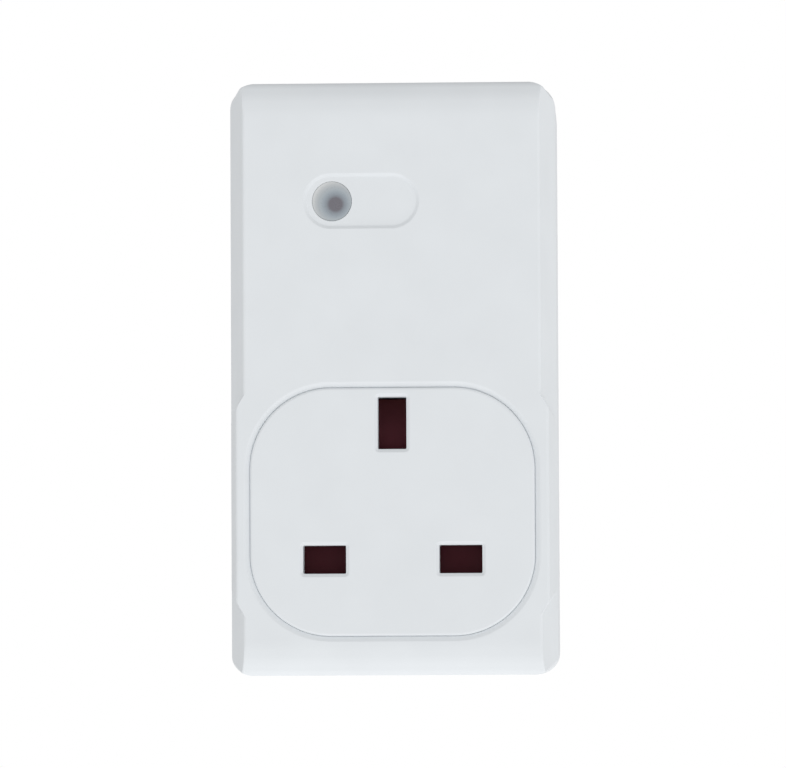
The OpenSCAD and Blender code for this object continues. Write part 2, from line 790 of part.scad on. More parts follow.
module transformer_core() color([0.2, 0.19, 0.2])
    translate([-6, board_y, 41])
        difference() {
            box([-6.5, 6.5], [-13, -1], [-3, 3]);
            for (sx = [-1, 1])
                box([sx * 3.05 - 1.45, sx * 3.05 + 1.45], [-10.8, -3.2], [-4, 4]);
        }

module transformer_winding() color([0.82, 0.7, 0.22])
    translate([-6, board_y, 41])
        difference() {
            along_y(-10.8, -3.2) rounded_rect(8.8, 11, 1.5);
            box([-1.6, 1.6], [-11, -3], [-3, 3]);
        }

module transformer_base() color(black_plastic)
    translate([-6, board_y, 41]) {
        box([-6.2, 6.2], [-1, -0.5], [-6, 6]);
        for (sx = [-1, 1])
            box([sx * 5.2 - 0.8, sx * 5.2 + 0.8], [-0.6, 0], [-5.8, 5.8]);
    }

module header_pins() color(brass_metal)
    for (x = header_x)
        translate([x, 0, header_z]) rod_y(0.64, control_y + control_t, board_y);

module header_strip() color(black_plastic)
    difference() {
        box([-6.4, 6.4], [board_y - 2.5, board_y], [header_z - 1.1, header_z + 1.1]);
        for (x = header_x)
            translate([x, 0, header_z]) rod_y(0.64, board_y - 3, board_y + overcut);
    }

// ---- Relay, drawn upright on the board: depth -y, hinge end towards -z ----

module relay_base() color(black_plastic)
    translate(relay_at) box([-7.1, 7.1], [-1.6, 0], [-8.9, 8.9]);

module relay_cover() color([0.16, 0.3, 0.62])
    translate(relay_at)
        difference() {
            along_y(-relay_h, 0) rounded_rect(2 * relay_half_w, 2 * relay_half_l, 0.8);
            box([relay_skin - relay_half_w, relay_half_w - relay_skin],
                [relay_skin - relay_h, overcut],
                [relay_skin - relay_half_l, relay_half_l - relay_skin]);
        }

module relay_yoke() color(steel_metal)
    translate(relay_at) {
        box([-5, 5], [-2.6, -1.6], [-7.6, 4.5]);
        box([-5, 5], [-yoke_top, -2.5], [-7.6, -6.6]);
    }

module relay_core() color(steel_metal)
    translate(relay_at + [0, 0, coil_z]) {
        rod_y(3.2, -yoke_top + 0.7, -2.6);
        rod_y(6.8, -yoke_top, -yoke_top + 0.8);
    }

module relay_bobbin() color(cream_plastic)
    translate(relay_at + [0, 0, coil_z])
        difference() {
            union() {
                rod_y(11.6, -3.4, -2.6);
                rod_y(5.2, -11, -3);
                rod_y(11.6, -yoke_top + 0.8, -10.7);
            }
            rod_y(3.2, -yoke_top, 0);
        }

module relay_winding() color(copper_metal)
    translate(relay_at + [0, 0, coil_z])
        difference() {
            rod_y(10.8, -10.7, -3.4);
            rod_y(5.2, -11, -3);
        }

// Turns a piece that is drawn closed to its open rest position about the yoke's top edge
module opened(angle)
    translate([0, -yoke_top, pivot_z]) rotate([angle, 0, 0])
        translate([0, yoke_top, -pivot_z]) children();

module relay_armature() color(steel_metal)
    translate(relay_at) opened(armature_open)
        box([-4.5, 4.5], [-yoke_top - pivot_gap - 1, -yoke_top - pivot_gap], [-7.5, 4.2]);

module relay_moving_contact() color(copper_metal)
    translate(relay_at) opened(armature_open) {
        arm_y = -yoke_top - pivot_gap - 1;
        box([-2.2, 2.2], [arm_y - 0.25, arm_y], [-6, 8]);
        translate([0, 0, 6.6]) rod_y(2.6, arm_y - 0.1, arm_y + 0.9);
    }

module relay_fixed_contact() color(copper_metal)
    translate(relay_at) {
        box([-2, 2], [-11.6, -1.6], [8, 8.6]);
        box([-2, 2], [-11.6, -11], [5.7, 8.1]);
        translate([0, 0, 6.9]) rod_y(2.2, -12.35, -11.5);
    }

// ---- Control board behind the button ----

module control_board() color(board_green)
    difference() {
        box(control_x, [control_y, control_y + control_t], control_z);
        at(control_points)
            rod_y(control_hole_d, control_y - overcut, control_y + control_t + overcut);
    }

module radio_shield() color(steel_metal)
    difference() {
        box([1, 13], [control_y + control_t, control_y + control_t + 2.3], [34, 46]);
        box([1.3, 12.7], [control_y + control_t - overcut, control_y + control_t + 2],
            [34.3, 45.7]);
    }

module antenna() color(brass_metal) {
    box([-2, 9], [control_y - 3, control_y - 2.6], [50, 55]);
    box([-2, -1.6], [control_y - 2.7, control_y], [50, 55]);
    box([1.5, 2.1], [control_y - 2.7, control_y], [50, 50.4]);
}

module tact_switch() color(black_plastic)
    translate([button_x, 0, button_z])
        difference() {
            union() {
                box([-3, 3], [switch_front_y, control_y], [-3, 3]);
                for (sx = [-1, 1], z = [-2.2, 1.6])
                    box([sx * 3.2 - 0.6, sx * 3.2 + 0.6], [control_y - 0.7, control_y],
                        [z, z + 0.6]);
            }
            rod_y(plunger_d + 0.1, switch_front_y - overcut,
                plunger_back_y + button_travel + 0.2);
        }

module switch_plunger() color(cream_plastic)
    translate([button_x, 0, button_z]) rod_y(plunger_d, plunger_front_y, plunger_back_y);

module status_led() color([0.9, 0.9, 0.82]) {
    box([-6.4, -4.8], [control_y - 0.5, control_y], [button_z - 1.2, button_z + 1.2]);
    translate([-5.6, control_y - 0.4, button_z])
        intersection() {
            sphere(d = 1.5);
            box([-1, 1], [-1, 0], [-1, 1]);
        }
}

// ---- Fasteners ----

module case_screws() color(steel_metal)
    at(case_points) translate([0, case_head_y, 0]) screw(case_screw);

module block_screws() color(steel_metal)
    at(block_points) translate([0, plate_back_y, 0]) screw(block_screw);

module retainer_screws() color(steel_metal)
    at(retainer_points) translate([0, retainer_y, 0]) mirror([0, 1, 0]) screw(retainer_screw);

module board_screws() color(steel_metal)
    at(board_points) translate([0, board_y, 0]) mirror([0, 1, 0]) screw(board_screw);

module control_board_screws() color(steel_metal)
    at(control_points) translate([0, control_y + control_t, 0]) screw(control_screw);

front_cover();
rear_cover();
socket_face();
push_button();
rating_label();
shutter();
shutter_spring();
contact_block();
live_contact();
neutral_contact();
earth_contact();
live_pin();
neutral_pin();
earth_pin();
live_pin_sleeve();
neutral_pin_sleeve();
pin_retainer();
earth_link();
neutral_link();
live_in_link();
live_out_link();
main_board();
film_capacitor();
bulk_capacitors();
varistor();
fuse();
bridge_rectifier();
driver_chip();
current_shunt();
transformer_core();
transformer_winding();
transformer_base();
header_pins();
header_strip();
relay_base();
relay_cover();
relay_yoke();
relay_core();
relay_bobbin();
relay_winding();
relay_armature();
relay_moving_contact();
relay_fixed_contact();
control_board();
radio_shield();
antenna();
tact_switch();
switch_plunger();
status_led();
case_screws();
block_screws();
retainer_screws();
board_screws();
control_board_screws();
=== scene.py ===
import json
import math

import bmesh
import bpy
import numpy as np
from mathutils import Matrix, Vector


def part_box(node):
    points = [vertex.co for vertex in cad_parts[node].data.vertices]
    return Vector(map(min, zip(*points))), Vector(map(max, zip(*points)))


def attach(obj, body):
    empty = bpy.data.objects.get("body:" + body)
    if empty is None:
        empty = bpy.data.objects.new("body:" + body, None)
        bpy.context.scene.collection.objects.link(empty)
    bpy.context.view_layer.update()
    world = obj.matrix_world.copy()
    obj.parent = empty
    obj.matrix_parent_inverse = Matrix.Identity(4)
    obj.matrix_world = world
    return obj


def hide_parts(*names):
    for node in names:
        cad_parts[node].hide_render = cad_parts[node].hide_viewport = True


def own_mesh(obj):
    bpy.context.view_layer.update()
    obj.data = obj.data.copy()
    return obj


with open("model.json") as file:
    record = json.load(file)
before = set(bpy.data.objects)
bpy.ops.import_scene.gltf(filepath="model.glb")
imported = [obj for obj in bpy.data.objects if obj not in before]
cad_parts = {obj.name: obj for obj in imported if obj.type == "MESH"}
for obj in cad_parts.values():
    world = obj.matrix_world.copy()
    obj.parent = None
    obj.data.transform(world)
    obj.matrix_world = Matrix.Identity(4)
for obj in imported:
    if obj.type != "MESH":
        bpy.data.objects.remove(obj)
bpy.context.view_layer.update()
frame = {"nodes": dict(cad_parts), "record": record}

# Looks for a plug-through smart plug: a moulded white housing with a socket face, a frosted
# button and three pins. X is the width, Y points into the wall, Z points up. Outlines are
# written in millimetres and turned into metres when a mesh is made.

MM = 0.001
# Points closer than this are one point, in a new mesh and in a CAD node's mesh
WELD = 0.003
CAD_WELD = 0.005
# Least distance between two rows of the housing
ROW_GAP = 0.012


def box_mm(node):
    """Lowest and highest corner of a CAD node, in millimetres."""
    low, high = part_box(node)
    return low / MM, high / MM


# ---- Places read from the frame ----

cover_low, cover_high = box_mm("front_cover")
face_low, face_high = box_mm("socket_face")
button_low, button_high = box_mm("push_button")
sleeve_low, sleeve_high = box_mm("live_pin_sleeve")
earth_low, earth_high = box_mm("earth_pin")
shutter_low, shutter_high = box_mm("shutter")
block_low, block_high = box_mm("contact_block")
control_low, control_high = box_mm("control_board")
label_low, label_high = box_mm("rating_label")

HALF_W = cover_high.x
Z_TOP = cover_high.z
Z_BOTTOM = cover_low.z
FRONT_Y = cover_low.y
SEAM_FRONT_Y = cover_high.y
TONGUE_Y = box_mm("rear_cover")[0].y
BUTTON_X = (button_low.x + button_high.x) / 2
BUTTON_Z = (button_low.z + button_high.z) / 2
PIN_W = sleeve_high.x - sleeve_low.x
PIN_T = sleeve_high.z - sleeve_low.z
EARTH_X = (earth_low.x + earth_high.x) / 2
EARTH_Z = (earth_low.z + earth_high.z) / 2
LIVE_X = (sleeve_low.x + sleeve_high.x) / 2
BOARD_REAR_Y = box_mm("main_board")[1].y

# ---- Housing form ----

# Upper and lower corners: radius, and how much larger it is at the front face
TOP_CORNER = (4.1, 0.7)
LOW_CORNER = (3.5, 0.5)
WALL = 2.2
# Seam between the covers: a gap outside, and the rear cover's tongue in a rabbet inside
RABBET = WALL / 2
SEAM_GAP = 0.3
SEAM_REAR_Y = SEAM_FRONT_Y + SEAM_GAP
TONGUE_ROOT_Y = -5
TONGUE_CLEARANCE = 0.05
# Depth at which the front and rear bosses of the case meet
CASE_JOINT_Y = -11.0
# Flanks: how far they come in and over what depth, plain and where they swell out
FLANK_IN = 2.6
FLANK_RUN = 8.2
SWELL_IN = 1.3
SWELL_TOP = 15.6
SWELL_BOTTOM = -20.0
SWELL_SLANT = 1.55
# Top and bottom front edges: distance in from the edge, and drop behind the front face
EDGE_STEPS = ((4.8, 0.0), (2.4, 0.45), (0.6, 1.4), (0.0, 2.1))
EDGE_RADII = (12.0, 6.0, 2.2, 1.2)
FLANK_EDGE_R = 0.55
FLANK_KNEE_R = 5.0
MITRE_R = 0.35
SEAM_EDGE_R = 0.2
REAR_EDGE_R = 1.3
INNER_FRONT_Y = FRONT_Y + WALL

# ---- Front details ----

# Socket face: its gap, corners and edge, and how much wider its flange is all round
FACE_GAP = 0.015
FACE_R = 13.2
FACE_EDGE_R = 0.45
FLANGE_GROW = 0.35
FLANGE_EDGE = 0.15
FACE_W = face_high.x - face_low.x - 2 * FLANGE_GROW
FACE_H = face_high.z - face_low.z - 2 * FLANGE_GROW
FACE_X = (face_low.x + face_high.x) / 2
FACE_Z = (face_low.z + face_high.z) / 2
# Bevel round the socket opening, and how its two edges are rounded
BEVEL_GROW = 0.9
BEVEL_DEPTH = 0.5
BEVEL_RADII = (0.55, 0.25)
# Pill-shaped recess, with the button at its left end
PILL_W = 19.0
PILL_H = 9.05
PILL_DEPTH = 0.4
PILL_SLOPE = 0.5
PILL_RADII = (0.3, 0.3)
BUTTON_SHIFT = 0.2
PILL_X = BUTTON_X - BUTTON_SHIFT + (PILL_W - PILL_H) / 2
PILL_FLOOR_Y = FRONT_Y + PILL_DEPTH
# Button: its gap, dome, flange behind the cover and stem to the switch
BUTTON_R = 6.4 / 2
BUTTON_GAP = 0.03
BUTTON_EDGE_R = 0.06
BUTTON_DOME = 0.08
BUTTON_FLANGE = (0.12, 0.9)
STEM_R = 1.5
# Apertures: place, width and height of each, and their shared chamfer
SLOT_W = 7.0
SLOT_H = 4.6
EARTH_SLOT_W = 4.66
EARTH_SLOT_H = 8.5
SLOTS = (((-LIVE_X, -EARTH_Z), SLOT_W, SLOT_H), ((LIVE_X, -EARTH_Z), SLOT_W, SLOT_H),
         ((EARTH_X, EARTH_Z), EARTH_SLOT_W, EARTH_SLOT_H))
SLOT_R = 0.2
SLOT_CHAMFER = 0.55
SLOT_CHAMFER_DEPTH = 0.4
SLOT_RADII = (0.18, 0.18)

# ---- Back and inside ----

# Pins: corner radii, the neck under a sleeve, the head inside and the holes in the rear wall
EARTH_H = 7.95
PIN_R = 0.9
SLEEVE_R = 0.55
NECK_IN = 0.6
HEAD_Y = earth_low.y
HEAD_R = 0.4
PIN_HOLE_R = 0.3
PIN_CLEARANCE = 0.05
# Least corner radius of a plate's outline, and the size of the finest edges
LEAST_R = 0.12
# Blank label, its recess and their corners
LABEL_RECESS_W = 30.0
LABEL_RECESS_H = 16.0
LABEL_RECESS_R = 1.5
LABEL_R = 1.3
LABEL_Z = (label_low.z + label_high.z) / 2
# Screw bosses: outer diameter and the diameter of the pilot hole
CASE_BOSS = (6.2, 2.5)
BLOCK_BOSS = (6.0, 2.2)
CONTROL_BOSS = (5.2, 1.8)
BOARD_BOSS = (5.6, 2.0)
RETAINER_BOSS = (6.0, 2.0)
# How far a boss is sunk into its wall, and how far its pilot hole stops short of that wall
BOSS_ROOT = 0.1
PILOT_FLOOR = 0.5
# How far the contact block's ears, which the bosses meet, lie behind the front of its rails
BLOCK_SEAT = 2.4
CASE_PILOT_Y = -24
REAR_PILOT = (-8, -3)
# Case screws: rear boss, clearance hole and counterbore, then the screw itself
REAR_BOSS_D = 8.4
SHAFT_D = 3.4
BORE_D = 6.2
BORE_DEPTH = 4.5
BORE_LEAD = 0.35
SCREW_HEAD_R = 2.8
SCREW_HEAD_H = 2.2
SCREW_CROWN_H = 1.3
SCREW_CROSS = (0.75, 3.1)
THREAD_R = 1.25
THREAD_ROOT_R = 0.95
THREAD_PITCH = 0.9
THREAD_FLANK = 0.36
THREAD_CREST = 0.1
# Shutter spring: wire diameter, turns, and the closed turns at each end
SPRING_WIRE = 0.45
SPRING_TURNS = 9
SPRING_DEAD_TURNS = 0.9
SHUTTER_EDGE_R = 0.12

# ---- Light and camera ----

# The light from a direction is the level plus the direction times the slope
LIGHT_LEVEL = 0.826
LIGHT_SLOPE = (0.12, -0.171, -0.36)
FLOOR_R = 1900
FLOOR_DROP = 190
FLOOR_GLOW = 0.45
# The camera's angles are in degrees, and the frame's width is measured at the target
CAMERA_DISTANCE = 900
CAMERA_TURN = 2.25
CAMERA_RISE = -2.7
CAMERA_ROLL = -0.27
CAMERA_TARGET = (0.2, FRONT_Y, 17.456)
FRAME_WIDTH = 128.2
SENSOR_WIDTH = 36


# ---- Outlines ----

def filleted(points, radii, steps=6):
    """A 2-D polyline whose inner corners are rounded by arcs of the given radii."""
    rounded = [Vector(points[0])]
    corners = zip(points, points[1:], points[2:], radii)
    for before, corner, after, radius in corners:
        back = (Vector(before) - Vector(corner)).normalized()
        ahead = (Vector(after) - Vector(corner)).normalized()
        turn = math.pi - back.angle(ahead)
        reach = radius * math.tan(turn / 2)
        centre = Vector(corner) + (back + ahead).normalized() * radius / math.cos(turn / 2)
        start = Vector(corner) + back * reach - centre
        end = Vector(corner) + ahead * reach - centre
        for i in range(steps + 1):
            share = i / steps
            blend = start * math.sin((1 - share) * turn) + end * math.sin(share * turn)
            rounded.append(centre + blend / math.sin(turn))
    rounded.append(Vector(points[-1]))
    return rounded


def arc(centre, radius, start, end, steps):
    """Points (x, z) on an arc, angles in radians."""
    angles = [start + (end - start) * i / steps for i in range(steps + 1)]
    return [(centre[0] + radius * math.cos(a), centre[1] + radius * math.sin(a))
            for a in angles]


def rounded_rect(width, height, radius, centre=(0, 0), steps=12):
    """Loop of (x, z) points round a rectangle with round corners."""
    radius = min(radius, width / 2 - 0.001, height / 2 - 0.001)
    loop = []
    for quarter, (sx, sz) in enumerate(((1, 1), (-1, 1), (-1, -1), (1, -1))):
        pivot = (centre[0] + sx * (width / 2 - radius), centre[1] + sz * (height / 2 - radius))
        loop += arc(pivot, radius, quarter * math.pi / 2, (quarter + 1) * math.pi / 2, steps)
    return loop


def circle(radius, centre, steps=48):
    """Loop of (x, z) points round a circle."""
    return arc(centre, radius, 0, 2 * math.pi, steps)[:-1]


# ---- Meshes ----

def new_object(name, shape):
    """Turns a bmesh into an object in the scene."""
    mesh = bpy.data.meshes.new(name)
    shape.to_mesh(mesh)
    shape.free()
    piece = bpy.data.objects.new(name, mesh)
    bpy.context.scene.collection.objects.link(piece)
    return piece


def loft(name, rows):
    """Closed skin through rows of (depth y, loop), where every loop has the same number of
    points."""
    shape = bmesh.new()
    rings = [[shape.verts.new((x * MM, y * MM, z * MM)) for x, z in loop] for y, loop in rows]
    for near, far in zip(rings, rings[1:]):
        for i, vertex in enumerate(near):
            j = (i + 1) % len(near)
            shape.faces.new((vertex, near[j], far[j], far[i]))
    shape.faces.new(rings[0])
    shape.faces.new(rings[-1])
    bmesh.ops.remove_doubles(shape, verts=shape.verts, dist=WELD * MM)
    bmesh.ops.recalc_face_normals(shape, faces=shape.faces)
    return new_object(name, shape)


def prism(name, loop, start_y, end_y):
    """Straight bar with one outline."""
    return loft(name, [(start_y, loop), (end_y, loop)])


def rod(name, spot, diameter, start_y, end_y):
    """Round bar along Y through a spot (x, z)."""
    return prism(name, circle(diameter / 2, spot), start_y, end_y)


def settled(piece):
    """Applies the piece's modifiers to its mesh."""
    bpy.context.view_layer.update()
    evaluated = piece.evaluated_get(bpy.context.evaluated_depsgraph_get())
    mesh = bpy.data.meshes.new_from_object(evaluated)
    piece.modifiers.clear()
    piece.data = mesh
    return piece


def combine(piece, tool, operation):
    """Adds a tool shape to a piece, or cuts it away, and removes the tool."""
    step = piece.modifiers.new("combine", "BOOLEAN")
    step.solver = "MANIFOLD"
    step.operation = operation
    step.object = tool
    settled(piece)
    bpy.data.objects.remove(tool)
    return piece


def cut(piece, *tools):
    """Cuts the tools away from a piece."""
    for tool in tools:
        combine(piece, tool, "DIFFERENCE")
    return piece


def add(piece, *tools):
    """Joins the tools to a piece."""
    for tool in tools:
        combine(piece, tool, "UNION")
    return piece


def shaded(piece, angle=34):
    """Smooth shading with crisp edges past the angle, and flats that stay flat."""
    shape = bmesh.new()
    shape.from_mesh(piece.data)
    for face in shape.faces:
        face.smooth = True
    for edge in shape.edges:
        edge.smooth = edge.calc_face_angle(math.pi) < math.radians(angle)
    shape.to_mesh(piece.data)
    shape.free()
    weights = piece.modifiers.new("flats", "WEIGHTED_NORMAL")
    weights.weight = 100
    weights.keep_sharp = True
    return settled(piece)


# ---- Housing sections ----

def profile(points, radii, steps):
    """Rounds a polyline of (depth y, inset) and drops its first point, which lies on the face."""
    return np.array([tuple(p) for p in filleted(points, radii, steps)[1:]])


def flank_profile(come_in, run, wall=0.0):
    """Inset of a flank at each depth, for the outer skin or for a skin inside it."""
    slope = come_in / run
    tilt = math.sqrt(1 + slope * slope)
    front = FRONT_Y + wall
    knee = FRONT_Y + run + wall * (tilt - 1) / slope
    inset = come_in - slope * wall + wall * tilt
    points = [(front, HALF_W), (front, inset), (knee, wall), (0, wall)]
    return profile(points, (FLANK_EDGE_R, FLANK_KNEE_R), 8)


def edge_profile(wall=0.0):
    """Inset of the top and bottom edges at each depth."""
    share = 1 - wall / EDGE_STEPS[0][0]
    front = FRONT_Y + wall
    steps = [(front + drop * share, wall + inset * share) for inset, drop in EDGE_STEPS]
    radii = [radius * share for radius in EDGE_RADII]
    return profile([(front, 4 * EDGE_STEPS[0][0])] + steps + [(0, wall)], radii, 5)


def smooth_step(t):
    """Eases from 0 to 1 as t does."""
    t = min(1, max(0, t))
    return t * t * (3 - 2 * t)


def inset_at(curve, depth):
    """Inset of a profile at a depth."""
    return float(np.interp(depth, curve[:, 0], curve[:, 1]))


def corner(x_limit, z_limit, outer_r, inset, soft):
    """Right-hand corner of a section, from its side line to its top line: the outline's arc
    where the section reaches it, and a small mitre rounding where it doesn't."""
    pivot = (HALF_W - outer_r, Z_TOP - outer_r)
    radius = outer_r - inset
    reach = radius - soft
    start = math.acos(max(-1, min(1, (x_limit - soft - pivot[0]) / reach)))
    end = math.asin(max(-1, min(1, (z_limit - soft - pivot[1]) / reach)))
    if start < end:
        low = (x_limit - soft, pivot[1] + reach * math.sin(start))
        high = (pivot[0] + reach * math.cos(end), z_limit - soft)
        middle = arc(pivot, radius, start, end, 14)[1:-1]
    else:
        start = end = math.pi / 3
        low = high = (x_limit - soft, z_limit - soft)
        middle = arc(low, soft, start, start, 14)[1:-1]
    return arc(low, soft, 0, start, 5) + middle + arc(high, soft, end, math.pi / 2, 5)


def swell_end(base_x, swell_x, tip_z, side):
    """One slanting end of the swollen stretch, from the plain flank into the swell."""
    blend = 0.2
    out_x = HALF_W - FLANK_IN
    base_z = tip_z - side * SWELL_SLANT * (base_x - out_x)
    swell_z = tip_z - side * SWELL_SLANT * (swell_x - out_x)
    points = []
    for t in (-0.2, -0.1, 0, 0.1, 0.2, 0.8, 0.9, 1, 1.1, 1.2):
        if t <= blend:
            rise = (t + blend) ** 2 / (4 * blend)
        elif t < 1 - blend:
            rise = t
        else:
            rise = 1 - (1 + blend - t) ** 2 / (4 * blend)
        points.append((base_x + (swell_x - base_x) * rise, base_z + (swell_z - base_z) * t))
    return points


def section(depth, curves, wall=0.0, rim=0.0):
    """Loop round the housing at one depth. rim draws the whole outline in at a rounded rim."""
    flank, swell, edge = curves
    base_x = HALF_W - inset_at(flank, depth) - rim
    swell_x = HALF_W - inset_at(swell, depth) - rim
    top_in = inset_at(edge, depth) + rim
    front = 1 - smooth_step((depth - FRONT_Y) / FLANK_RUN)
    top, low = [corner(base_x, Z_TOP - top_in, radius + grow * front, wall + rim,
                       min(MITRE_R, (radius - wall - rim) / 2))
                for radius, grow in (TOP_CORNER, LOW_CORNER)]
    middle_z = (Z_TOP + Z_BOTTOM) / 2
    bottom = [(x, 2 * middle_z - z) for x, z in reversed(low)]
    right = (bottom + swell_end(base_x, swell_x, SWELL_BOTTOM + wall, -1)
             + swell_end(base_x, swell_x, SWELL_TOP - wall, 1)[::-1] + top)
    return right + [(-x, z) for x, z in reversed(right)]


def housing_curves(wall=0.0):
    """Profiles of the plain flank, the swollen flank, and the top and bottom edges."""
    return (flank_profile(FLANK_IN, FLANK_RUN, wall), flank_profile(SWELL_IN, FLANK_RUN, wall),
            edge_profile(wall))


def depths(curves, start, end):
    """Depths at which the curves bend, thinned out so that no two rows are too close."""
    found = sorted({round(float(y), 4) for curve in curves for y in curve[:, 0]})
    rows = [start]
    for depth in found:
        if depth - rows[-1] > ROW_GAP and end - depth > ROW_GAP:
            rows.append(depth)
    return rows + [end]


def rim_rows(radius, start, towards):
    """Depths and insets of a rounded rim that starts at a depth and curls in by its radius."""
    angles = [math.pi / 2 * i / 6 for i in range(7)]
    return [(start + towards * radius * math.sin(a), radius * (1 - math.cos(a)))
            for a in angles]


def housing_skin(name, start, end, wall=0.0):
    """Plain skin of the housing, inset by a wall, between two depths."""
    curves = housing_curves(wall)
    rows = [(y, section(y, curves, wall)) for y in depths(curves, start, end)]
    return loft(name, rows)


def grown_plate(name, width, height, radius, centre, rows, steps=20):
    """Rounded plate whose outline grows or shrinks with depth: rows of (depth y, growth)."""
    return loft(name, [(y, rounded_rect(width + 2 * grow, height + 2 * grow,
                                        max(radius + grow, LEAST_R), centre, steps))
                       for y, grow in rows])


def sunk(points, radii, steps=5):
    """Rows of a hole's wall that starts flush with a surface. points are (depth y, growth),
    the first of them out on the surface."""
    skim = 0.002
    wall = filleted(points, radii, steps)[1:]
    surface, flare = wall[0]
    return [(surface - 1, flare), (surface - skim, flare)] + [tuple(p) for p in wall[1:]]


# ---- Outer pieces ----

def spots(node, head_r):
    """Centres (x, z) of a group of screws that stand at the corners of their box."""
    low, high = box_mm(node)
    return sorted({(round(x, 3), round(z, 3)) for x in (low.x + head_r, high.x - head_r)
                   for z in (low.z + head_r, high.z - head_r)})


CASE_SPOTS = spots("case_screws", SCREW_HEAD_R)
BLOCK_SPOTS = spots("block_screws", 2.2)
CONTROL_SPOTS = spots("control_board_screws", 1.9)
BOARD_SPOTS = spots("board_screws", 2.2)
# The pin retainer has two screws above and one in the middle below
low_left, high_left, low_right, high_right = spots("retainer_screws", 2.0)
RETAINER_SPOTS = [high_left, high_right, ((low_left[0] + low_right[0]) / 2, low_left[1])]


def bossed(shell, places, sizes, boss_ends, pilot_ends):
    """Adds screw bosses of one size to a shell and drills their pilot holes."""
    boss_d, pilot_d = sizes
    for spot in places:
        add(shell, rod("boss", spot, boss_d, *boss_ends))
        cut(shell, rod("pilot", spot, pilot_d, *pilot_ends))


def front_shell():
    """Front cover: shell, screw bosses, socket opening, pill recess and button hole."""
    curves = housing_curves()
    body = [(y, section(y, curves)) for y in depths(curves, FRONT_Y, SEAM_FRONT_Y - SEAM_EDGE_R)]
    for y, rim in rim_rows(SEAM_EDGE_R, SEAM_FRONT_Y - SEAM_EDGE_R, 1)[1:]:
        body.append((y, section(y, curves, rim=rim)))
    shell = loft("front_shell", body)
    cut(shell, housing_skin("cavity", INNER_FRONT_Y, CASE_JOINT_Y, WALL),
        housing_skin("rabbet", TONGUE_Y, CASE_JOINT_Y, RABBET))
    root_y = INNER_FRONT_Y - BOSS_ROOT
    pilot_y = INNER_FRONT_Y + PILOT_FLOOR
    bossed(shell, CASE_SPOTS, CASE_BOSS, (root_y, CASE_JOINT_Y),
           (CASE_PILOT_Y, CASE_JOINT_Y + 1))
    bossed(shell, BLOCK_SPOTS, BLOCK_BOSS, (root_y, block_low.y + BLOCK_SEAT),
           (pilot_y, block_high.y))
    bossed(shell, CONTROL_SPOTS, CONTROL_BOSS, (root_y, control_low.y),
           (pilot_y, control_high.y))
    opening = sunk([(FRONT_Y, 4), (FRONT_Y, BEVEL_GROW), (FRONT_Y + BEVEL_DEPTH, FACE_GAP),
                    (INNER_FRONT_Y + 1, FACE_GAP)], BEVEL_RADII)
    pill = sunk([(FRONT_Y, 4), (FRONT_Y, 0), (PILL_FLOOR_Y, -PILL_SLOPE),
                 (PILL_FLOOR_Y, -2 * PILL_SLOPE)], PILL_RADII)
    button = sunk([(PILL_FLOOR_Y, 1), (PILL_FLOOR_Y, 0), (INNER_FRONT_Y + 1, 0)], (LEAST_R,))
    hole_d = 2 * (BUTTON_R + BUTTON_GAP)
    return shaded(cut(
        shell,
        grown_plate("opening", FACE_W, FACE_H, FACE_R, (FACE_X, FACE_Z), opening, 28),
        grown_plate("pill", PILL_W, PILL_H, PILL_H / 2, (PILL_X, BUTTON_Z), pill[:-1], 28),
        grown_plate("hole", hole_d, hole_d, hole_d / 2, (BUTTON_X, BUTTON_Z), button, 16)))


def rear_shell():
    """Rear cover: shell with its tongue, bosses, pin holes, counterbores and label recess."""
    curves = housing_curves()
    rim_start = rim_rows(SEAM_EDGE_R, SEAM_REAR_Y + SEAM_EDGE_R, -1)
    rim_end = rim_rows(REAR_EDGE_R, -REAR_EDGE_R, 1)
    body = [(y, section(y, curves, rim=rim)) for y, rim in rim_start[::-1] + rim_end]
    shell = loft("rear_shell", body)
    add(shell, housing_skin("tongue", TONGUE_Y, TONGUE_ROOT_Y, RABBET + TONGUE_CLEARANCE))
    cut(shell, housing_skin("cavity", TONGUE_Y - 1, -WALL, WALL))
    root_y = -WALL + BOSS_ROOT
    for spot in CASE_SPOTS:
        add(shell, rod("boss", spot, REAR_BOSS_D, CASE_JOINT_Y, root_y))
    bossed(shell, BOARD_SPOTS, BOARD_BOSS, (BOARD_REAR_Y, root_y), REAR_PILOT)
    bossed(shell, RETAINER_SPOTS, RETAINER_BOSS, (HEAD_Y, root_y), REAR_PILOT)
    recess = [(label_low.y, 0), (-0.05, 0), (-0.02, 0.04), (0, 0.12), (1, 0.12)]
    cut(shell, grown_plate("recess", LABEL_RECESS_W, LABEL_RECESS_H, LABEL_RECESS_R,
                           (0, LABEL_Z), recess, 8))
    for node in ("live_pin_sleeve", "neutral_pin_sleeve"):
        low, high = box_mm(node)
        cut(shell, pin_hole((low.x + high.x) / 2, (low.z + high.z) / 2,
                            high.x - low.x, high.z - low.z))
    cut(shell, pin_hole(EARTH_X, EARTH_Z, PIN_T, EARTH_H))
    bore = [(1, BORE_LEAD), (0, BORE_LEAD)]
    bore += [(-y, grow) for y, grow in sunk([(0, 2), (0, 0), (BORE_DEPTH, 0)], (0.3,))[2:]]
    for spot in CASE_SPOTS:
        cut(shell, rod("shaft", spot, SHAFT_D, CASE_JOINT_Y - 1, 1),
            grown_plate("bore", BORE_D, BORE_D, BORE_D / 2, spot, bore, 12))
    return shaded(shell)


def pin_hole(x, z, width, height):
    """Cutter for one pin's hole in the rear wall, with a fine lead-in at the outside."""
    rows = [(-WALL - 1, PIN_CLEARANCE), (-0.15, PIN_CLEARANCE), (-0.06, 0.09), (0, 0.18),
            (1, 0.18)]
    return grown_plate("pin_hole", width, height, PIN_HOLE_R, (x, z), rows, 6)


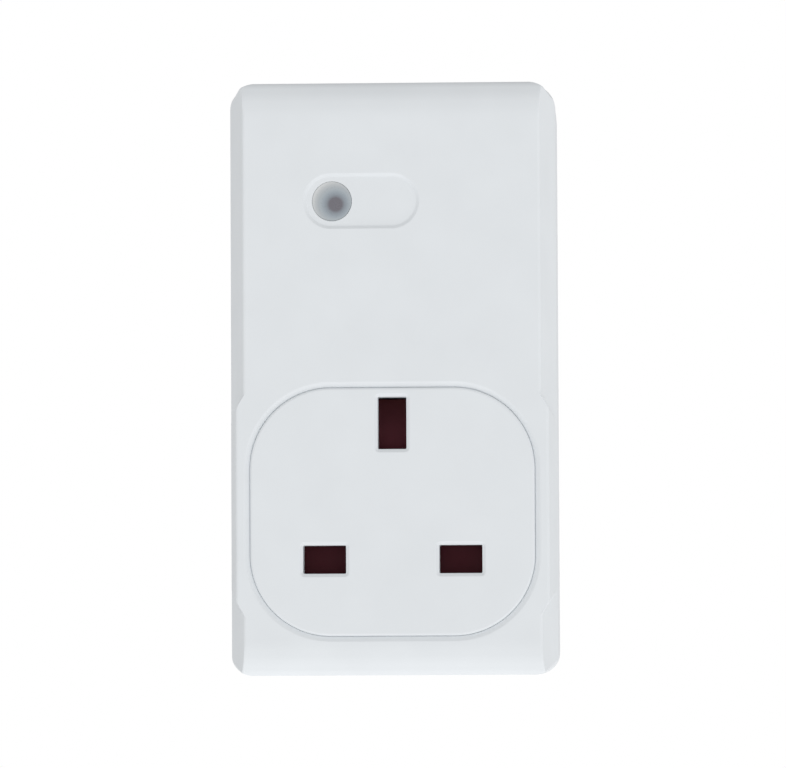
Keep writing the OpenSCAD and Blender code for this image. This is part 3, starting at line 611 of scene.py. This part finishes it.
def socket_insert():
    """Socket face: plate with a rounded edge, a clamped flange and three chamfered apertures."""
    rim = [(FRONT_Y + FACE_EDGE_R * (1 - math.sin(a)), FACE_EDGE_R * (math.cos(a) - 1))
           for a in [math.pi / 2 * (6 - k) / 6 for k in range(7)]]
    back = [(INNER_FRONT_Y, 0), (INNER_FRONT_Y, FLANGE_GROW - FLANGE_EDGE),
            (INNER_FRONT_Y + FLANGE_EDGE, FLANGE_GROW), (face_high.y, FLANGE_GROW)]
    plate = grown_plate("socket_insert", FACE_W, FACE_H, FACE_R, (FACE_X, FACE_Z),
                        rim + back, 28)
    wall = sunk([(FRONT_Y, 3), (FRONT_Y, SLOT_CHAMFER), (FRONT_Y + SLOT_CHAMFER_DEPTH, 0),
                 (face_high.y + 1, 0)], SLOT_RADII)
    for spot, width, height in SLOTS:
        cut(plate, grown_plate("slot", width, height, SLOT_R, spot, wall, 4))
    return shaded(plate)


def push_button():
    """Round button: shallow dome, flange behind the cover and a stem to the switch."""
    shares = [0.01] + [step / 10 for step in range(1, 9)]
    crown = [(BUTTON_R * s, button_low.y + BUTTON_DOME * s * s) for s in shares]
    rim = filleted([crown[-1], (BUTTON_R, button_low.y + BUTTON_DOME),
                    (BUTTON_R, button_low.y + 4 * BUTTON_EDGE_R)], (BUTTON_EDGE_R,), 6)
    outline = [(y, r) for r, y in crown] + [(p.y, p.x) for p in rim[1:-1]]
    flange_r = (button_high.x - button_low.x) / 2
    near, far = [INNER_FRONT_Y + depth for depth in BUTTON_FLANGE]
    soft = 0.1
    outline += [(near, BUTTON_R), (near, flange_r - soft), (near + soft, flange_r),
                (far, flange_r), (far, STEM_R + soft), (far + soft, STEM_R),
                (button_high.y, STEM_R)]
    return shaded(turned("push_button_lens", outline, (BUTTON_X, BUTTON_Z), 64))


def turned(name, outline, spot, steps):
    """Turned piece about an axis along Y: outline is rows of (depth y, radius)."""
    return loft(name, [(y, circle(radius, spot, steps)) for y, radius in outline])


def blade_rows(end):
    """Rows of a pin's blade from the sleeve or wall to its chamfered, rounded tip."""
    tip = filleted([(end - 4, 0), (end - 2, 0), (end, 0.9), (end, 1.5)], (1.5, 0.35), 5)
    return [(p.x, -p.y) for p in tip[1:-1]]


def pin(name, node, width, height, sleeve_end=None):
    """Pin: anchored head behind the rear wall, a neck under the sleeve, and the blade."""
    low, high = box_mm(node)
    spot = ((low.x + high.x) / 2, (low.z + high.z) / 2)
    blade = blade_rows(high.y)
    if sleeve_end:
        blade = [(-WALL - 0.1, -NECK_IN), (sleeve_end, -NECK_IN), (sleeve_end, -LEAST_R),
                 (sleeve_end + LEAST_R, 0)] + blade
    else:
        blade = [(-WALL - 0.1, 0)] + blade
    body = grown_plate(name, width, height, PIN_R, spot, blade, 6)
    bevel = 0.3
    rows = [(HEAD_Y, -bevel), (HEAD_Y + bevel, 0), (-WALL - bevel, 0), (-WALL, -bevel)]
    head = grown_plate("head", high.x - low.x, high.z - low.z, HEAD_R, spot, rows, 4)
    return shaded(add(body, head))


def sleeve(name, node):
    """Moulded sleeve round the root of a pin, with a softened end."""
    low, high = box_mm(node)
    spot = ((low.x + high.x) / 2, (low.z + high.z) / 2)
    rows = [(low.y, 0), (high.y - 0.2, 0), (high.y - 0.06, -0.06), (high.y, -0.2)]
    skin = grown_plate(name, PIN_W, PIN_T, SLEEVE_R, spot, rows, 6)
    bore = [(low.y - 1, -NECK_IN), (high.y + 1, -NECK_IN)]
    return shaded(cut(skin, grown_plate("bore", PIN_W, PIN_T, PIN_R, spot, bore, 6)))


def label():
    """Blank rating label in its recess."""
    rows = [(label_low.y, 0), (label_high.y - 0.03, 0), (label_high.y, -0.05)]
    return shaded(grown_plate("rear_label", label_high.x - label_low.x,
                              label_high.z - label_low.z, LABEL_R,
                              ((label_low.x + label_high.x) / 2, LABEL_Z), rows, 8))


def case_screw(index, spot):
    """Pan-head screw with a cross recess and a threaded shank, head towards the wall."""
    low, high = box_mm("case_screws")
    seat = high.y - SCREW_HEAD_H
    outline = [(low.y, 0.2), (low.y + 1.6, THREAD_ROOT_R)]
    for turn in range(int((seat - low.y - 3) / THREAD_PITCH)):
        y = low.y + 1.8 + turn * THREAD_PITCH
        outline += [(y, THREAD_ROOT_R), (y + THREAD_FLANK, THREAD_R),
                    (y + THREAD_FLANK + THREAD_CREST, THREAD_R),
                    (y + 2 * THREAD_FLANK + THREAD_CREST, THREAD_ROOT_R)]
    rim_y = high.y - SCREW_CROWN_H
    flat_r = 1.1
    outline += [(seat - 0.1, THREAD_R), (seat, THREAD_R + 0.15), (seat, SCREW_HEAD_R - 0.15),
                (seat + LEAST_R, SCREW_HEAD_R), (rim_y, SCREW_HEAD_R)]
    crown = [(rim_y + SCREW_CROWN_H * math.sin(a), flat_r + (SCREW_HEAD_R - flat_r) * math.cos(a))
             for a in [math.pi / 2 * i / 8 for i in range(1, 9)]]
    screw = turned(f"case_screw_{index}", outline + crown, spot, 32)
    for width, height in (SCREW_CROSS, SCREW_CROSS[::-1]):
        rows = [(high.y - 1.3, -0.22), (high.y - 0.2, 0), (high.y + 1, 0.1)]
        cut(screw, grown_plate("recess", width, height, 0.15, spot, rows, 3))
    return shaded(screw)


def shutter():
    """Sliding shutter: the CAD shape with every edge softened."""
    source = frame["nodes"]["shutter"]
    shape = bmesh.new()
    shape.from_mesh(source.data)
    bmesh.ops.remove_doubles(shape, verts=shape.verts, dist=CAD_WELD * MM)
    bmesh.ops.dissolve_limit(shape, angle_limit=math.radians(1), verts=shape.verts,
                             edges=shape.edges)
    plate = new_object("shutter_plate", shape)
    soft = plate.modifiers.new("soft", "BEVEL")
    soft.width = SHUTTER_EDGE_R * MM
    soft.segments = 3
    soft.limit_method = "ANGLE"
    soft.angle_limit = math.radians(25)
    return shaded(settled(plate), 50)


def spring():
    """Compression spring: one round wire with closed end turns."""
    low, high = box_mm("shutter_spring")
    axis = ((low.x + high.x) / 2, (low.y + high.y) / 2)
    wire_r = SPRING_WIRE / 2
    coil_r = (high.x - low.x) / 2 - wire_r
    around = 10
    steps = 24 * SPRING_TURNS
    length = high.z - low.z - SPRING_WIRE
    closed = SPRING_WIRE * 1.05 * SPRING_DEAD_TURNS
    shape = bmesh.new()
    rings = []
    for i in range(steps + 1):
        turn = SPRING_TURNS * i / steps
        height = np.interp(turn, (0, SPRING_DEAD_TURNS, SPRING_TURNS - SPRING_DEAD_TURNS,
                                  SPRING_TURNS), (0, closed, length - closed, length))
        angle = 2 * math.pi * turn
        rings.append([shape.verts.new((
            (axis[0] + (coil_r + wire_r * math.cos(a)) * math.cos(angle)) * MM,
            (axis[1] + (coil_r + wire_r * math.cos(a)) * math.sin(angle)) * MM,
            (low.z + wire_r + height + wire_r * math.sin(a)) * MM))
            for a in [2 * math.pi * k / around for k in range(around)]])
    for near, far in zip(rings, rings[1:]):
        for k in range(around):
            n = (k + 1) % around
            shape.faces.new((near[k], near[n], far[n], far[k]))
    shape.faces.new(rings[0])
    shape.faces.new(rings[-1])
    bmesh.ops.recalc_face_normals(shape, faces=shape.faces)
    return shaded(new_object("shutter_spring_coil", shape), 60)


# ---- Materials ----

class Finish:
    """One procedural finish: a Principled shader and the nodes that vary it in place."""

    def __init__(self, name, **sockets):
        self.material = bpy.data.materials.new(name)
        self.material.use_nodes = True
        self.tree = self.material.node_tree
        self.shader = self.tree.nodes["Principled BSDF"]
        self.place = self.node("ShaderNodeTexCoord").outputs["Object"]
        for socket, value in sockets.items():
            self.shader.inputs[socket.replace("_", " ")].default_value = value

    def node(self, kind, **settings):
        """Adds a node with the given settings."""
        made = self.tree.nodes.new(kind)
        for setting, value in settings.items():
            setattr(made, setting, value)
        return made

    def link(self, output, target):
        """Joins an output to an input."""
        self.tree.links.new(output, target)

    def stretched(self, x, y, z):
        """Coordinates scaled along each axis, for grain that runs one way."""
        mapping = self.node("ShaderNodeMapping")
        mapping.inputs["Scale"].default_value = (x, y, z)
        self.link(self.place, mapping.inputs["Vector"])
        return mapping.outputs["Vector"]

    def noise(self, size, detail=2.0, place=None):
        """Noise with features about size millimetres across."""
        texture = self.node("ShaderNodeTexNoise")
        texture.inputs["Scale"].default_value = 1 / (size * MM)
        texture.inputs["Detail"].default_value = detail
        self.link(place or self.place, texture.inputs["Vector"])
        return texture.outputs["Fac"]

    def distance_from(self, spot):
        """Distance in millimetres from the line along Y through a point (x, z)."""
        axes = self.node("ShaderNodeSeparateXYZ")
        self.link(self.place, axes.inputs["Vector"])
        squares = []
        for axis, centre in zip("XZ", spot):
            offset = self.node("ShaderNodeMath", operation="SUBTRACT")
            self.link(axes.outputs[axis], offset.inputs[0])
            offset.inputs[1].default_value = centre * MM
            square = self.node("ShaderNodeMath", operation="MULTIPLY")
            self.link(offset.outputs[0], square.inputs[0])
            self.link(offset.outputs[0], square.inputs[1])
            squares.append(square)
        total = self.node("ShaderNodeMath", operation="ADD")
        for index, square in enumerate(squares):
            self.link(square.outputs[0], total.inputs[index])
        root = self.node("ShaderNodeMath", operation="SQRT")
        self.link(total.outputs[0], root.inputs[0])
        scale = self.node("ShaderNodeMath", operation="MULTIPLY")
        self.link(root.outputs[0], scale.inputs[0])
        scale.inputs[1].default_value = 1 / MM
        return scale.outputs[0]

    def values(self, factor, low, high, start=0.35, end=0.65):
        """Maps a factor from start to end onto low to high."""
        mapped = self.node("ShaderNodeMapRange")
        self.link(factor, mapped.inputs["Value"])
        for socket, value in zip(("From Min", "From Max", "To Min", "To Max"),
                                 (start, end, low, high)):
            mapped.inputs[socket].default_value = value
        return mapped.outputs["Result"]

    def colours(self, factor, stops, smooth=False):
        """Blends colours along a factor: stops are (position, colour)."""
        ramp = self.node("ShaderNodeValToRGB")
        ramp.color_ramp.interpolation = "B_SPLINE" if smooth else "LINEAR"
        elements = ramp.color_ramp.elements
        while len(elements) < len(stops):
            elements.new(0.5)
        for element, (position, colour) in zip(elements, stops):
            element.position = position
            element.color = (*colour, 1)
        self.link(factor, ramp.inputs["Fac"])
        return ramp.outputs["Color"]

    def surface(self, colour=None, roughness=None):
        """Drives the shader's colour and roughness."""
        if colour:
            self.link(colour, self.shader.inputs["Base Color"])
        if roughness:
            self.link(roughness, self.shader.inputs["Roughness"])

    def relief(self, *layers):
        """Bump layers of (height, depth in millimetres)."""
        normal = None
        for height, depth in layers:
            bump = self.node("ShaderNodeBump")
            bump.inputs["Distance"].default_value = depth * MM
            self.link(height, bump.inputs["Height"])
            if normal:
                self.link(normal, bump.inputs["Normal"])
            normal = bump.outputs["Normal"]
        self.link(normal, self.shader.inputs["Normal"])


def tinted(colour, amount):
    """A colour made lighter or darker."""
    return tuple(min(1.0, c * amount) for c in colour)


def moulded(name, colour, roughness, grain, relief):
    """Moulded plastic: faint mottling, a spark-eroded grain and uneven gloss."""
    finish = Finish(name)
    mottle = finish.noise(9, 3)
    finish.surface(
        finish.colours(mottle, [(0.3, tinted(colour, 0.985)), (0.7, tinted(colour, 1.012))]),
        finish.values(finish.noise(2.5, 4), roughness - 0.04, roughness + 0.05))
    finish.relief((finish.noise(grain, 3), relief), (finish.noise(14, 1), relief * 1.5))
    return finish.material


def metal(name, colour, roughness, drawn=(1, 1, 1)):
    """Worked metal: faint tarnish in patches, and fine lines along the way it was drawn."""
    finish = Finish(name, Metallic=1.0)
    lines = finish.noise(0.12, 3, finish.stretched(*drawn))
    patches = finish.noise(2.5, 5)
    finish.surface(
        finish.colours(patches, [(0.3, tinted(colour, 0.93)), (0.6, colour)]),
        finish.values(lines, roughness - 0.03, roughness + 0.04))
    finish.relief((lines, 0.0003))
    return finish.material


def button_finish_painted_light():
    """Frosted lens over a dark light guide, with painted light: the guide's dark centre is painted
    shifted towards the lower right, and the rim painted lighter towards the upper left, where
    light entering from the lower right glows through the frost.
    """
    finish = Finish("button_frost_painted_light", Roughness=0.3, Coat_Weight=0.35, Coat_Roughness=0.12)
    # Painted light: the shading is centred off the guide, towards the lower right
    ring = finish.distance_from((BUTTON_X + 0.6, BUTTON_Z - 0.52))
    shade = finish.values(ring, 0, 1, 0, 4)
    colour = finish.colours(shade, [
        (0.26, (0.143, 0.137, 0.160)), (0.37, (0.235, 0.265, 0.30)),
        (0.5, (0.31, 0.355, 0.395)), (0.62, (0.385, 0.43, 0.46)),
        (0.7, (0.41, 0.445, 0.47)), (0.82, (0.50, 0.525, 0.54)),
        (0.9, (0.58, 0.6, 0.605)), (0.96, (0.66, 0.675, 0.68))])
    finish.surface(colour, finish.values(finish.noise(0.5, 3), 0.24, 0.38))
    finish.relief((finish.noise(0.12, 2), 0.002))
    return finish.material


def shutter_finish_painted_light():
    """Maroon plastic with painted light: it is lighter deeper in, standing in for the light that
    the aperture walls shut out, so that the apertures look evenly dark.
    """
    finish = Finish("maroon_moulding_painted_light", Specular_IOR_Level=0.1)
    axes = finish.node("ShaderNodeSeparateXYZ")
    finish.link(finish.place, axes.inputs["Vector"])
    depth = finish.values(axes.outputs["Y"], 0, 1, shutter_low.y * MM, shutter_high.y * MM)
    # Painted light: the base colour is painted lighter with depth, in place of light that the
    # apertures shut out
    finish.surface(finish.colours(depth, [(0.0, (0.047, 0.006, 0.010)), (0.15, (0.12, 0.03, 0.04)),
                                          (0.55, (0.28, 0.08, 0.1)), (1.0, (0.55, 0.16, 0.18))]),
                   finish.values(finish.noise(2.5, 4), 0.46, 0.55))
    finish.relief((finish.noise(0.3, 3), 0.004), (finish.noise(14, 1), 0.006))
    return finish.material


def board_finish():
    """Solder mask over faint copper tracks that run across and along the board."""
    finish = Finish("board_mask", Coat_Weight=0.5, Coat_Roughness=0.15)
    tracks = finish.node("ShaderNodeMath", operation="MAXIMUM")
    for index, scale in enumerate(((0.09, 1, 1), (1, 1, 0.07))):
        finish.link(finish.noise(0.8, 0, finish.stretched(*scale)), tracks.inputs[index])
    copper = finish.values(tracks.outputs[0], 0, 1, 0.6, 0.63)
    finish.surface(
        finish.colours(copper, [(0.0, (0.014, 0.1, 0.045)), (1.0, (0.028, 0.17, 0.075))]),
        finish.values(finish.noise(1.5, 3), 0.3, 0.45))
    finish.relief((copper, 0.015))
    return finish.material


def wound(name, colour, pitch):
    """Fine wire or tape laid in turns across the Z axis."""
    wave_length = 0.314
    finish = Finish(name, Coat_Weight=0.4, Coat_Roughness=0.2)
    waves = finish.node("ShaderNodeTexWave", bands_direction="Z", wave_profile="SIN")
    waves.inputs["Scale"].default_value = wave_length / (pitch * MM)
    waves.inputs["Distortion"].default_value = 0.6
    finish.link(finish.place, waves.inputs["Vector"])
    finish.surface(
        finish.colours(waves.outputs["Fac"], [(0.1, tinted(colour, 0.6)), (0.7, colour)]),
        finish.values(finish.noise(1, 3), 0.3, 0.45))
    finish.relief((waves.outputs["Fac"], pitch * 0.3))
    return finish.material


FINISHES = {
    "white_abs": lambda: moulded("white_moulding", (0.775, 0.806, 0.832), 0.46, 0.3, 0.004),
    "button_lens": button_finish_painted_light,
    "shutter_plastic": shutter_finish_painted_light,
    "black_plastic": lambda: moulded("black_moulding", (0.018, 0.018, 0.02), 0.4, 0.3, 0.004),
    "cream_plastic": lambda: moulded("cream_moulding", (0.68, 0.62, 0.48), 0.42, 0.3, 0.004),
    "brass": lambda: metal("drawn_brass", (0.72, 0.50, 0.22), 0.24, (1, 0.04, 1)),
    "copper": lambda: metal("copper", (0.78, 0.42, 0.26), 0.3, (1, 0.1, 1)),
    "steel": lambda: metal("plated_steel", (0.62, 0.63, 0.65), 0.3),
    "board": board_finish,
    "ferrite": lambda: moulded("ferrite", (0.035, 0.033, 0.034), 0.55, 0.15, 0.01),
    "winding_tape": lambda: wound("winding_tape", (0.72, 0.52, 0.08), 1.2),
    "film_case": lambda: moulded("film_case", (0.62, 0.45, 0.05), 0.35, 0.3, 0.004),
    "capacitor_sleeve": lambda: moulded("capacitor_sleeve", (0.03, 0.05, 0.13), 0.28, 0.5,
                                        0.003),
    "varistor_epoxy": lambda: moulded("varistor_epoxy", (0.03, 0.12, 0.42), 0.38, 0.6, 0.02),
    "relay_case": lambda: moulded("relay_case", (0.03, 0.10, 0.36), 0.3, 0.3, 0.003),
    "led_lens": lambda: moulded("led_lens", (0.82, 0.82, 0.72), 0.2, 0.4, 0.002),
    "label_film": lambda: moulded("label_film", (0.50, 0.52, 0.54), 0.33, 0.15, 0.002),
}
finishes = {slot: make() for slot, make in FINISHES.items()}


# ---- Placing ----

def paint(piece, slot):
    """Gives a piece the finish of its material slot, and no other."""
    piece.data.materials.clear()
    piece.data.materials.append(finishes[slot])


def place(piece, body, slot, *nodes):
    """A new piece rides on a body, takes a finish and stands for CAD nodes."""
    paint(piece, slot)
    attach(piece, body)
    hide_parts(*nodes)
    return piece


for subpart in frame["record"]["subparts"]:
    paint(frame["nodes"][subpart["node"]], subpart["material_slot"])

place(front_shell(), "housing", "white_abs", "front_cover")
place(rear_shell(), "housing", "white_abs", "rear_cover")
place(socket_insert(), "housing", "white_abs", "socket_face")
place(push_button(), "button", "button_lens", "push_button")
place(label(), "housing", "label_film", "rating_label")
place(shutter(), "shutter", "shutter_plastic", "shutter")
for side in ("live", "neutral"):
    place(pin(f"{side}_blade", f"{side}_pin", PIN_W, PIN_T, sleeve_high.y), "housing", "brass",
          f"{side}_pin")
    place(sleeve(f"{side}_sleeve", f"{side}_pin_sleeve"), "housing", "black_plastic",
          f"{side}_pin_sleeve")
place(pin("earth_blade", "earth_pin", PIN_T, EARTH_H), "housing", "brass", "earth_pin")
for number, spot in enumerate(CASE_SPOTS, 1):
    place(case_screw(number, spot), "housing", "steel", "case_screws")

coil = place(spring(), "housing", "steel", "shutter_spring")
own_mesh(coil)


# ---- Stage ----

def floor():
    """Plain pale floor well below the housing, which hangs where a wall socket holds it."""
    shape = bmesh.new()
    bmesh.ops.create_circle(shape, cap_ends=True, segments=96, radius=FLOOR_R * MM)
    ground = new_object("floor", shape)
    ground.location = (0, 0, (Z_BOTTOM - FLOOR_DROP) * MM)
    finish = Finish("pale_floor", Roughness=0.8, Emission_Color=(1, 1, 1, 1),
                    Emission_Strength=FLOOR_GLOW)
    finish.surface(finish.colours(finish.noise(60, 3), [(0.3, (0.885, 0.89, 0.895)),
                                                        (0.7, (0.895, 0.9, 0.905))]))
    ground.data.materials.append(finish.material)
    # The light from below the object isn't cut off by the floor
    ground.visible_diffuse = False
    ground.visible_glossy = False
    ground.visible_shadow = False


def white_background(tree):
    """Adds a white background of strength 1."""
    made = tree.nodes.new("ShaderNodeBackground")
    made.inputs["Color"].default_value = (1, 1, 1, 1)
    return made


def surroundings():
    """White background with a soft light that is stronger from below, in front and right."""
    world = bpy.data.worlds.new("studio")
    bpy.context.scene.world = world
    world.use_nodes = True
    tree = world.node_tree
    tree.nodes.clear()
    direction = tree.nodes.new("ShaderNodeTexCoord").outputs["Generated"]
    slope = tree.nodes.new("ShaderNodeVectorMath")
    slope.operation = "DOT_PRODUCT"
    slope.inputs[1].default_value = LIGHT_SLOPE
    level = tree.nodes.new("ShaderNodeMath")
    level.operation = "ADD"
    level.inputs[1].default_value = LIGHT_LEVEL
    soft = white_background(tree)
    white = white_background(tree)
    seen = tree.nodes.new("ShaderNodeLightPath").outputs["Is Camera Ray"]
    mix = tree.nodes.new("ShaderNodeMixShader")
    output = tree.nodes.new("ShaderNodeOutputWorld")
    links = tree.links
    links.new(direction, slope.inputs[0])
    links.new(slope.outputs["Value"], level.inputs[0])
    links.new(level.outputs[0], soft.inputs["Strength"])
    links.new(seen, mix.inputs["Fac"])
    links.new(soft.outputs[0], mix.inputs[1])
    links.new(white.outputs[0], mix.inputs[2])
    links.new(mix.outputs[0], output.inputs["Surface"])


def camera():
    """Long lens in front, a little to the right and below, and slightly rolled."""
    turn = math.radians(CAMERA_TURN)
    rise = math.radians(CAMERA_RISE)
    data = bpy.data.cameras.new("camera")
    data.sensor_width = SENSOR_WIDTH
    data.lens = SENSOR_WIDTH * CAMERA_DISTANCE / FRAME_WIDTH
    eye = bpy.data.objects.new("camera", data)
    back = Vector((math.sin(turn) * math.cos(rise), -math.cos(turn) * math.cos(rise),
                   math.sin(rise)))
    eye.location = (Vector(CAMERA_TARGET) + back * CAMERA_DISTANCE) * MM
    eye.rotation_mode = "QUATERNION"
    eye.rotation_quaternion = (-back).to_track_quat("-Z", "Y")
    eye.rotation_mode = "XYZ"
    eye.rotation_euler.rotate_axis("Z", math.radians(CAMERA_ROLL))
    bpy.context.scene.collection.objects.link(eye)
    bpy.context.scene.camera = eye


floor()
surroundings()
camera()
bpy.context.scene.view_settings.view_transform = "Standard"
